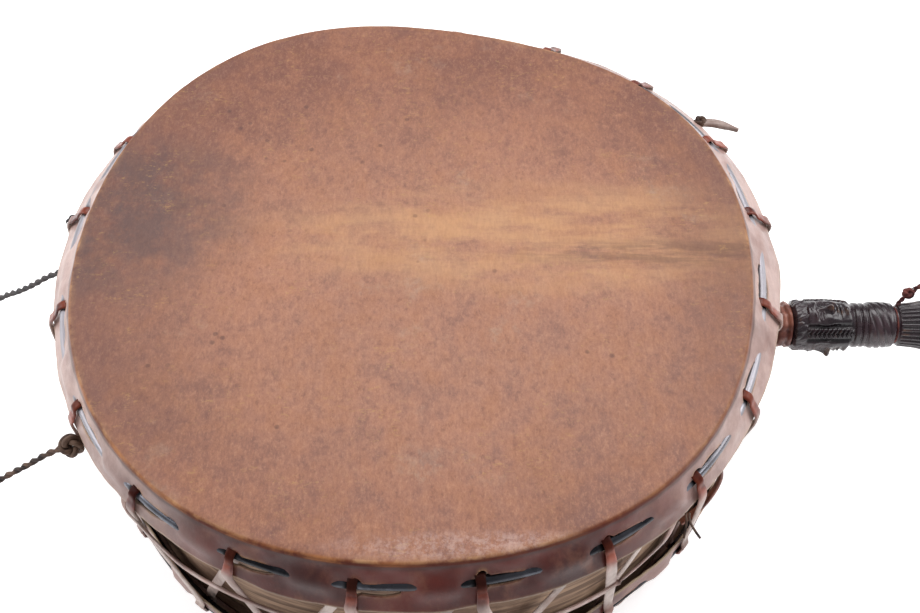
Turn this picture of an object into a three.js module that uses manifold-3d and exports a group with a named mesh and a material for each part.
// A shaman's double-headed frame drum, lying flat on its lower head.
// Millimetres, +Z up. The origin is the middle of the lower head's flat underside, and the
// carved handle leaves the frame along +X. Angles are in degrees, counter-clockwise from the
// handle as seen from above.
import * as THREE from "three";
import { mergeVertices } from "three/addons/utils/BufferGeometryUtils.js";
import Module from "manifold-3d";

// --- driving dimensions ------------------------------------------------------------------

const DEPTH = 162; // from the underside of the lower head to the top of the upper head
const HEAD_RADIUS = 220; // mean radius of the upper head's crease
const LOWER_SCALE = 0.966; // the frame narrows a little towards the lower head
const TOUCH = 0.3; // gap left between pieces that touch
const SKIN = 2.0; // thickness of the heads and their collars
const COLLAR_DROP = 30; // from the head's face to the hem of its collar
const CREASE_ROUND = 3.4; // how much the fold over the rim is rounded
const FRAME_WALL = 9;
const FRAME_INSET = 8.6; // from the crease in to the frame's outside

// The hand-bent rim is a little out of round: [lobes, height, turn of the first lobe].
const RIM_WAVES = [[2, 2.0, -95], [3, 2.4, 15], [4, 4.0, 148], [5, 1.2, 178]];
// How far the upper collar's hem stands out from the crease, and how that varies.
const UPPER_FLARE = 19.5;
const FLARE_WAVES = [[1, 8.1, 68], [2, 2.5, 66], [3, 3.3, 130], [4, 2.5, -48], [5, 1.2, 0]];
const LOWER_FLARE = 12;

const HOOP_RADIUS = 3; // the iron rod inside each collar
const HOOP_DROP = 16.5; // from the head's face to the middle of the rod
const HOOP_GAP = 2.2; // between the rod and the collar, which is drawn in flat facets

const SLOTS = 20; // cut through each collar, over the hoop
const SLOT_PITCH = 360 / SLOTS;
const FIRST_SLOT = 9; // where the first slot starts, past the handle
const SLOT_SWEEP = 10;
const SLOT_HALF_HEIGHT = 3.3;
const HOLE_SWEEP = 2.6; // the taller hole at a slot's start, which the thong comes out of
const HOLE_HALF_HEIGHT = 5.2;
const SLOT_DRIFT = 5; // how far the slots at the left stray back from an even spacing
const DRIFT_AT = 165;

const THONG = { width: 7.5, thickness: 1.6, gap: 0.9 }; // the gap is to the collar
// The waist thong runs outside the lacing's outer legs in front, and inside them elsewhere.
const WAIST_THONG = { width: 5.0, thickness: 1.6, outside: 5.0, inside: -7.5 };
const WAIST_HEIGHT = { front: 89, elsewhere: 119 };
const WAIST_FRONT = { from: 218.5, to: 309, ramp: 10 };

const HANDLE_HEIGHT = 83.5;
const HANDLE_SIDES = 20;
const TENON = 11; // radius of the plain round end that is let into the frame
const BINDING = { start: 248, end: 257.5, inner: 11.4, outer: 15.4 };

const SIDE_CORD = 4; // diameter of the twisted carrying cord at the left
const WRIST_CORD = 2.6; // diameter of the thong tied round the handle
const WRIST_BAND = { middle: 329.6, inner: 13.2, thickness: 1.8 };
const STRAP_END = { width: 5.6, thickness: 1.6, length: 27, point: 7 };

// --- places on the drum ------------------------------------------------------------------

const radians = THREE.MathUtils.degToRad;
const lerp = THREE.MathUtils.lerp;

function waves(list, angle) {
  return list.reduce((sum, [lobes, height, turn]) =>
    sum + height * Math.cos(radians(lobes * angle - turn)), 0);
}

function around(angle, radius, z) {
  const a = radians(angle);
  return new THREE.Vector3(radius * Math.cos(a), radius * Math.sin(a), z);
}

const rim = (angle) => HEAD_RADIUS + waves(RIM_WAVES, angle);

// The two heads are alike: "inward" is how far a point is from its head's flat face. With a
// curve above 1 a collar falls steeply first and then flares; the bulge is over the hoop. The
// lower slots sit nearly half a pitch on from the upper ones, so that the lacing slants and
// its legs pass on either side of the handle.
const upper = {
  crease: rim,
  flare: (angle) => UPPER_FLARE + waves(FLARE_WAVES, angle),
  curve: 1.5,
  bulge: 1.6,
  height: (inward) => DEPTH - inward,
  shift: 0,
};
const lower = {
  crease: (angle) => LOWER_SCALE * rim(angle),
  flare: () => LOWER_FLARE,
  curve: 1,
  bulge: 2.6,
  height: (inward) => inward,
  shift: SLOT_PITCH / 2 - HOLE_SWEEP,
};

// The outside of a collar, as its distance out from the crease.
function collarOut(head, angle, inward) {
  const share = THREE.MathUtils.clamp(inward / COLLAR_DROP, 0, 1);
  return share ** head.curve * head.flare(angle) + head.bulge * Math.sin(Math.PI * share);
}

function hoopOut(head, angle) {
  return collarOut(head, angle, HOOP_DROP) - SKIN - HOOP_GAP - HOOP_RADIUS;
}

function slotStart(head, index) {
  const even = FIRST_SLOT + SLOT_PITCH * index;
  const nearness = Math.max(0, Math.cos(radians(even - DRIFT_AT)));
  return even + head.shift - SLOT_DRIFT * nearness ** 8;
}

// --- building blocks ---------------------------------------------------------------------

// A closed solid through rows of points: each row is a closed section, and the rows either
// close on themselves too or end in flat caps.
function loft(rows, { closed = false } = {}) {
  const sides = rows[0].length;
  const positions = rows.flat().flatMap((p) => [p.x, p.y, p.z]);
  const index = [];
  const spans = closed ? rows.length : rows.length - 1;
  for (let row = 0; row < spans; row++) {
    const here = row * sides;
    const next = ((row + 1) % rows.length) * sides;
    for (let side = 0; side < sides; side++) {
      const beside = (side + 1) % sides;
      index.push(here + side, next + side, next + beside);
      index.push(here + side, next + beside, here + beside);
    }
  }
  if (!closed) {
    for (const [row, flip] of [[0, false], [rows.length - 1, true]]) {
      const centre = rows[row].reduce((sum, p) => sum.add(p), new THREE.Vector3());
      centre.divideScalar(sides);
      const hub = positions.length / 3;
      positions.push(centre.x, centre.y, centre.z);
      for (let side = 0; side < sides; side++) {
        const a = row * sides + side;
        const b = row * sides + ((side + 1) % sides);
        index.push(hub, flip ? b : a, flip ? a : b);
      }
    }
  }
  const geometry = new THREE.BufferGeometry();
  geometry.setAttribute("position", new THREE.Float32BufferAttribute(positions, 3));
  geometry.setIndex(index);
  return facingOut(geometry);
}

function facingOut(geometry) {
  const p = geometry.getAttribute("position");
  const index = geometry.getIndex().array;
  const [a, b, c] = [new THREE.Vector3(), new THREE.Vector3(), new THREE.Vector3()];
  let volume = 0;
  for (let i = 0; i < index.length; i += 3) {
    a.fromBufferAttribute(p, index[i]);
    b.fromBufferAttribute(p, index[i + 1]);
    c.fromBufferAttribute(p, index[i + 2]);
    volume += a.dot(b.cross(c));
  }
  if (volume < 0) {
    for (let i = 0; i < index.length; i += 3) {
      [index[i], index[i + 1]] = [index[i + 1], index[i]];
    }
  }
  return geometry;
}

const evenly = (count, make) => Array.from({ length: count }, (_, i) => make(i));

// A ring whose section [radius, z] may change with the angle.
function ring(steps, section) {
  const rows = evenly(steps, (i) => {
    const angle = (360 / steps) * i;
    return section(angle).map(([radius, z]) => around(angle, radius, z));
  });
  return loft(rows, { closed: true });
}

// A flat strip along a path: its width lies across the path, along the drum's wall.
function strip(path, { width, thickness }, closed) {
  const rows = path.map((point, i) => {
    const before = path[closed ? (i + path.length - 1) % path.length : Math.max(i - 1, 0)];
    const after = path[closed ? (i + 1) % path.length : Math.min(i + 1, path.length - 1)];
    const along = after.clone().sub(before).normalize();
    const angle = THREE.MathUtils.radToDeg(Math.atan2(point.y, point.x));
    const outward = around(angle, 1, 0);
    const steep = Math.abs(along.z) > 0.4 || Math.abs(along.dot(outward)) > 0.4;
    const guide = steep ? around(angle + 90, 1, 0) : new THREE.Vector3(0, 0, 1);
    const across = guide.addScaledVector(along, -guide.dot(along)).normalize();
    const face = along.clone().cross(across);
    return [[1, 1], [-1, 1], [-1, -1], [1, -1]].map(([u, v]) => point.clone()
      .addScaledVector(across, (u * width) / 2)
      .addScaledVector(face, (v * thickness) / 2));
  });
  return loft(rows, { closed });
}

function tube(points, diameter, steps, sides) {
  const section = new THREE.Shape();
  section.setFromPoints(evenly(sides, (i) => new THREE.Vector2(
    (diameter / 2) * Math.cos((2 * Math.PI * i) / sides),
    (diameter / 2) * Math.sin((2 * Math.PI * i) / sides))));
  const extrudePath = new THREE.CatmullRomCurve3(points.map((p) => new THREE.Vector3(...p)));
  return new THREE.ExtrudeGeometry(section, { extrudePath, steps });
}

const wasm = await Module();
wasm.setup();

function toSolid(source) {
  const geometry = source.clone();
  geometry.deleteAttribute("normal");
  geometry.deleteAttribute("uv");
  const merged = mergeVertices(geometry, 1e-4);
  return new wasm.Manifold(new wasm.Mesh({
    numProp: 3,
    vertProperties: new Float32Array(merged.getAttribute("position").array),
    triVerts: new Uint32Array(merged.getIndex().array),
  }));
}

function toGeometry(solid) {
  const mesh = solid.getMesh();
  const geometry = new THREE.BufferGeometry();
  geometry.setAttribute("position", new THREE.Float32BufferAttribute(mesh.vertProperties, 3));
  geometry.setIndex(Array.from(mesh.triVerts));
  return geometry;
}

const cut = (body, tools) =>
  toGeometry(tools.reduce((solid, tool) => solid.subtract(toSolid(tool)), toSolid(body)));

const join = (pieces) =>
  toGeometry(pieces.map(toSolid).reduce((solid, piece) => solid.add(piece)));

// --- heads -------------------------------------------------------------------------------

// A skin is one sheet: the flat head, the crease over the rim, and the flaring collar.
function skinSolid(head) {
  const steps = 40;
  const level = (depth, out) => (angle) =>
    around(angle, head.crease(angle) + out(angle), head.height(depth));
  const outside = (depth) => level(depth, (angle) => collarOut(head, angle, depth));
  const inside = (depth) => level(depth, (angle) => collarOut(head, angle, depth) - SKIN);
  const profile = [
    level(0, () => -CREASE_ROUND),
    level(0.35 * CREASE_ROUND, () => -0.25 * CREASE_ROUND),
    outside(CREASE_ROUND),
    outside(HOOP_DROP),
    outside(COLLAR_DROP),
    inside(COLLAR_DROP),
    inside(HOOP_DROP),
    inside(CREASE_ROUND + 0.4 * SKIN),
    level(SKIN, () => -CREASE_ROUND),
  ];
  return loft(profile.map((at) => evenly(steps, (i) => at((360 / steps) * i))));
}

// A slot is a tall hole for the thong, running on as a low slit that shows the hoop.
function slotCutter(head, index) {
  const start = slotStart(head, index);
  const stations = [
    [0, HOLE_HALF_HEIGHT],
    [HOLE_SWEEP, HOLE_HALF_HEIGHT],
    [SLOT_SWEEP, SLOT_HALF_HEIGHT],
  ];
  const rows = stations.map(([sweep, half]) => {
    const angle = start + sweep;
    const [near, far] = [head.crease(angle) - 1.5, head.crease(angle) + 45];
    return [[near, -half], [far, -half], [far, half], [near, half]]
      .map(([radius, rise]) => around(angle, radius, head.height(HOOP_DROP - 1 + rise)));
  });
  return loft(rows);
}

const headSkin = (head) =>
  cut(skinSolid(head), evenly(SLOTS, (index) => slotCutter(head, index)));

function hoop(head) {
  const sides = 5;
  return ring(48, (angle) => evenly(sides, (i) => {
    const turn = (2 * Math.PI * i) / sides;
    return [
      head.crease(angle) + hoopOut(head, angle) + HOOP_RADIUS * Math.cos(turn),
      head.height(HOOP_DROP) + HOOP_RADIUS * Math.sin(turn),
    ];
  }));
}

// --- frame -------------------------------------------------------------------------------

// The bent wooden wall: a low lip under each crease, and a hole for the handle's tenon.
function frameRing() {
  const inset = SKIN + TOUCH;
  const lip = { out: -CREASE_ROUND - 3 * TOUCH, height: 7 };
  const wall = ring(48, (angle) => {
    const outside = (head) => [
      [head.crease(angle) - FRAME_INSET, head.height(lip.height + 2.5)],
      [head.crease(angle) + lip.out, head.height(lip.height)],
      [head.crease(angle) + lip.out, head.height(inset)],
    ];
    const inner = (head) =>
      [head.crease(angle) - FRAME_INSET - FRAME_WALL, head.height(inset)];
    return [...outside(upper), inner(upper), inner(lower), ...outside(lower).reverse()];
  });
  const hole = new THREE.CylinderGeometry(TENON + TOUCH, TENON + TOUCH, 80, 24);
  hole.rotateZ(Math.PI / 2).translate(HEAD_RADIUS, 0, HANDLE_HEIGHT);
  return cut(wall, [hole]);
}

// --- lacing ------------------------------------------------------------------------------

// Half of one loop: up behind the collar, over the hoop, out of the hole and down over the
// hem. Each point is [distance out from the crease, distance in from the head's face].
function loopOverHoop(head, angle) {
  const hoopAt = hoopOut(head, angle);
  const reach = HOOP_RADIUS + THONG.thickness / 2 + THONG.gap - 0.1;
  const outside = (inward) => collarOut(head, angle, inward) + THONG.thickness / 2 + THONG.gap;
  const points = [
    [hoopAt - reach, HOOP_DROP + 6],
    [hoopAt - reach, HOOP_DROP],
    [hoopAt - 0.75 * reach, HOOP_DROP - 0.85 * reach],
    [hoopAt + 0.2, HOOP_DROP - 1.08 * reach],
    [hoopAt + reach, HOOP_DROP - 0.9 * reach],
    [outside(HOOP_DROP) + 0.4, HOOP_DROP + 0.5],
    [outside(COLLAR_DROP) + 1.1, COLLAR_DROP + 0.5],
  ];
  return points.map(([out, inward]) =>
    around(angle, head.crease(angle) + out, head.height(inward)));
}

// One long thong zigzags between the hoops: down outside both collars, up inside them.
function lacingPath() {
  return evenly(SLOTS, (index) => [
    ...loopOverHoop(upper, slotStart(upper, index) + HOLE_SWEEP / 2),
    ...loopOverHoop(lower, slotStart(lower, index) + HOLE_SWEEP / 2).reverse(),
  ]).flat();
}

// A thong is drawn round the drum's waist, through the lacing.
function waistThong() {
  const { from, to, ramp } = WAIST_FRONT;
  const path = evenly(72, (i) => {
    const angle = 5 * i;
    const front = THREE.MathUtils.smoothstep(angle, from - ramp / 2, from + ramp / 2)
      * (1 - THREE.MathUtils.smoothstep(angle, to - ramp / 2, to + ramp / 2));
    const lowered = THREE.MathUtils.smoothstep(angle, from + ramp / 2, from + 2.5 * ramp)
      * (1 - THREE.MathUtils.smoothstep(angle, to - ramp / 2, to + ramp / 2));
    const z = lerp(WAIST_HEIGHT.elsewhere, WAIST_HEIGHT.front, lowered);
    const share = (z - COLLAR_DROP) / (DEPTH - 2 * COLLAR_DROP);
    const radius = lerp(
      lower.crease(angle) + LOWER_FLARE,
      upper.crease(angle) + upper.flare(angle), share);
    return around(angle, radius + lerp(WAIST_THONG.inside, WAIST_THONG.outside, front), z);
  });
  return strip(path, WAIST_THONG, true);
}

// --- handle ------------------------------------------------------------------------------

// The carved handle's outline, as [distance from the drum's axis, radius].
const HANDLE_OUTLINE = [
  [206, TENON], [257.9, TENON], // tenon
  [258, 14.6], [260.5, 16.6], [264, 16.6], // leafy crown
  [268, 16.6], [272, 16.8], [276, 16.6], [280, 16.8], [284, 16.6],
  [288, 16.3], [293, 16.0], [297.5, 15.2], // the three faces
  [299.6, 13.6], [301, 14.9], [304, 14.9], [305, 13.3],
  [306, 14.7], [308, 14.7], [309, 13.4], // neck rings
  [310.5, 14.9], [314, 15.4], [319, 15.4], [323.5, 15.0], [327.6, 14.6], // twisted barrel
  [328.4, 12.6], [330.8, 12.6], // groove for the wrist cord
  [332, 13.4], [343, 14.8], [355, 17.2], [358, 17.4], [360, 13.5], // fluted flare
  [363, 13.2], [365, 15.4], [369, 15.4], [371, 12.4], // ring
  [377, 12.0], [383, 15.4], [390, 16.6], [397, 15.4], [403, 12.0], // plain knop
  [407, 15.2], [412, 17.0], [436, 16.0], [498, 9.5], [535, 4.2], [544, 1.2], // blade
];
const FACES = { count: 3, first: -2, start: 264, end: 299, nose: 281, chin: 293 };
const TWIST = { start: 310, end: 325, lobes: 5, lead: 60, depth: 0.7 };
const FLUTES = { start: 332, end: 357, count: 10, depth: 0.7 };
const BLADE = { start: 407, depth: 0.2 };

const bump = (x, middle, width) => Math.exp(-(((x - middle) / width) ** 2));

// Carving on the handle: how far the wood stands out at a place along it and round it.
function carving(x, roll) {
  const toFace = ((roll - FACES.first) % (360 / FACES.count) + 360) % (360 / FACES.count);
  const offFace = Math.min(toFace, 360 / FACES.count - toFace);
  if (x > FACES.start && x < FACES.end) {
    const nose = 3.6 * bump(x, FACES.nose, 4) * bump(offFace, 0, 11);
    const chin = 1.6 * bump(x, FACES.chin, 3) * bump(offFace, 0, 18);
    const braid = 0.9 * bump(offFace, 60, 9);
    const cheek = -1.0 * bump(offFace, 34, 12);
    return nose + chin + braid + cheek;
  }
  if (x > TWIST.start && x < TWIST.end) {
    const turn = (360 * (x - TWIST.start)) / TWIST.lead;
    return TWIST.depth * Math.cos(radians(TWIST.lobes * (roll + turn)));
  }
  if (x > FLUTES.start && x < FLUTES.end) {
    return FLUTES.depth * Math.cos(radians(FLUTES.count * roll));
  }
  return 0;
}

function handle() {
  const rows = HANDLE_OUTLINE.map(([x, radius]) => evenly(HANDLE_SIDES, (i) => {
    const roll = (360 / HANDLE_SIDES) * i;
    const threeSided = x > BLADE.start
      ? 1 + BLADE.depth * Math.cos(radians(3 * (roll - FACES.first))) : 1;
    const out = radius * threeSided + carving(x, roll);
    const turn = radians(roll);
    return new THREE.Vector3(x, -out * Math.sin(turn), HANDLE_HEIGHT + out * Math.cos(turn));
  }));
  return loft(rows);
}

// The strip of leather wound round the tenon, between the drum and the carving.
function handleBinding() {
  const { start, end, inner, outer } = BINDING;
  const middle = (start + end) / 2;
  const profile = [[inner, start], [outer - 0.8, start], [outer, middle],
    [outer - 0.5, end], [inner, end]];
  const points = [...profile, profile[0]].map(([r, x]) => new THREE.Vector2(r, x));
  const geometry = new THREE.LatheGeometry(points, 18);
  return geometry.rotateZ(-Math.PI / 2).translate(0, 0, HANDLE_HEIGHT);
}

// --- cords -------------------------------------------------------------------------------

// The carrying cord leaves from under the hem, falls to the ground at the left, turns there
// and comes back up to its knot.
const SIDE_CORD_ROUTE = [
  [-234, 14, 126], [-241, 15.5, 121], [-251, 19, 112], [-264, 23, 99], [-279, 29, 84],
  [-295, 36, 69], [-313, 41, 51], [-332, 42, 33], [-352, 37, 17], [-371, 26, 6.5],
  [-388, 9, 2.3], [-400, -14, 2.2], [-404, -39, 2.2], [-399, -64, 2.2], [-386, -86, 2.3],
  [-366, -102, 5], [-344, -110, 14], [-321, -113, 28], [-298, -114, 45], [-277, -115, 62],
  [-258, -115, 78], [-241, -116, 93], [-226, -117, 107], [-213, -118, 117],
];
const SIDE_KNOT = [-206, -119, 121];
const SIDE_KNOT_LEG = 11; // the slot whose thong the knot is tied to

// The thin thong tied round the handle ends in a loop that drops behind it.
const WRIST_KNOT = [338, 13.5, 101.2];
const WRIST_CORD_ROUTE = [
  [341.5, 16, 102.7], [346, 18, 103.8], [356, 23, 104.4], [368, 29, 102], [380, 37, 92],
  [390, 46, 76], [398, 56, 56], [405, 67, 36], [411, 78, 17], [418, 90, 5], [426, 101, 1.6],
  [432, 110, 1.5], [430, 118, 1.5], [421, 117, 1.5], [414, 108, 1.5], [408, 97, 3.5],
  [402, 84, 12], [397, 73, 27], [391, 62, 45], [384, 51, 64], [375, 40, 82], [364, 31, 93],
  [353, 24, 98], [346, 19, 99.6], [342, 15.5, 99.4],
];

function knot(centre, size) {
  const geometry = new THREE.IcosahedronGeometry(size, 1);
  return geometry.scale(1, 0.85, 0.85).translate(...centre);
}

// The carrying cord's knot is tied round the leg of the lacing that passes through it.
function sideKnot() {
  const clear = { width: THONG.width + 4 * TOUCH, thickness: THONG.thickness + 4 * TOUCH };
  const path = lacingPath();
  const leg = (SIDE_KNOT_LEG * path.length) / SLOTS + 5;
  return cut(knot(SIDE_KNOT, 8), [strip(path.slice(leg, leg + 4), clear, false)]);
}

// A ring of thong in the handle's groove, a short doubled stem, and the knot above it.
function wristTie() {
  const { middle, inner, thickness } = WRIST_BAND;
  const band = new THREE.TorusGeometry(inner + thickness / 2, thickness / 2, 5, 18);
  band.rotateY(Math.PI / 2).translate(middle, 0, HANDLE_HEIGHT);
  const stem = tube([[middle, 6.0, 95.9], [333, 9.5, 98.0], [337, 12.6, 100.4]], 3.2, 3, 8);
  return join([band, stem, knot(WRIST_KNOT, 3.6)]);
}

// --- loose ends --------------------------------------------------------------------------

// The flat pointed end of a thong, knotted under the hem at the back right.
function strapEnd() {
  const { width, thickness, length, point } = STRAP_END;
  const outline = new THREE.Shape();
  outline.moveTo(0, -width / 2);
  outline.lineTo(length - point, -width / 2);
  outline.lineTo(length, 0);
  outline.lineTo(length - point, width / 2);
  outline.lineTo(0, width / 2);
  const geometry = new THREE.ExtrudeGeometry(outline,
    { depth: thickness, bevelEnabled: false });
  geometry.rotateZ(radians(-14)).translate(205.5, 147.5, 130.1);
  return geometry;
}

// --- the whole drum ----------------------------------------------------------------------

const hide = new THREE.MeshStandardMaterial({ color: 0xa06a4c, roughness: 0.55 });
const wood = new THREE.MeshStandardMaterial({ color: 0x7d6a55, roughness: 0.8 });
const darkWood = new THREE.MeshStandardMaterial({ color: 0x2a2020, roughness: 0.4 });
const iron = new THREE.MeshStandardMaterial({ color: 0x3c4048, roughness: 0.35, metalness: 0.8 });
const leather = new THREE.MeshStandardMaterial({ color: 0x7a4a38, roughness: 0.6 });
const paleLeather = new THREE.MeshStandardMaterial({ color: 0xb09a88, roughness: 0.7 });
const cord = new THREE.MeshStandardMaterial({ color: 0x4a3a34, roughness: 0.9 });

const drum = new THREE.Group();

function add(name, geometry, material) {
  const mesh = new THREE.Mesh(geometry, material);
  mesh.name = name;
  drum.add(mesh);
}

add("frame_ring", frameRing(), wood);
add("upper_head_skin", headSkin(upper), hide);
add("lower_head_skin", headSkin(lower), hide);
add("upper_hoop", hoop(upper), iron);
add("lower_hoop", hoop(lower), iron);
add("lacing_thong", strip(lacingPath(), THONG, true), paleLeather);
add("waist_thong", waistThong(), leather);
add("carved_handle", handle(), darkWood);
add("handle_binding", handleBinding(), leather);
add("side_cord", tube(SIDE_CORD_ROUTE, SIDE_CORD, 36, 8), cord);
add("side_cord_knot", sideKnot(), cord);
add("wrist_tie", wristTie(), cord);
add("wrist_cord", tube(WRIST_CORD_ROUTE, WRIST_CORD, 34, 8), cord);
add("strap_end", strapEnd(), paleLeather);

export default drum;
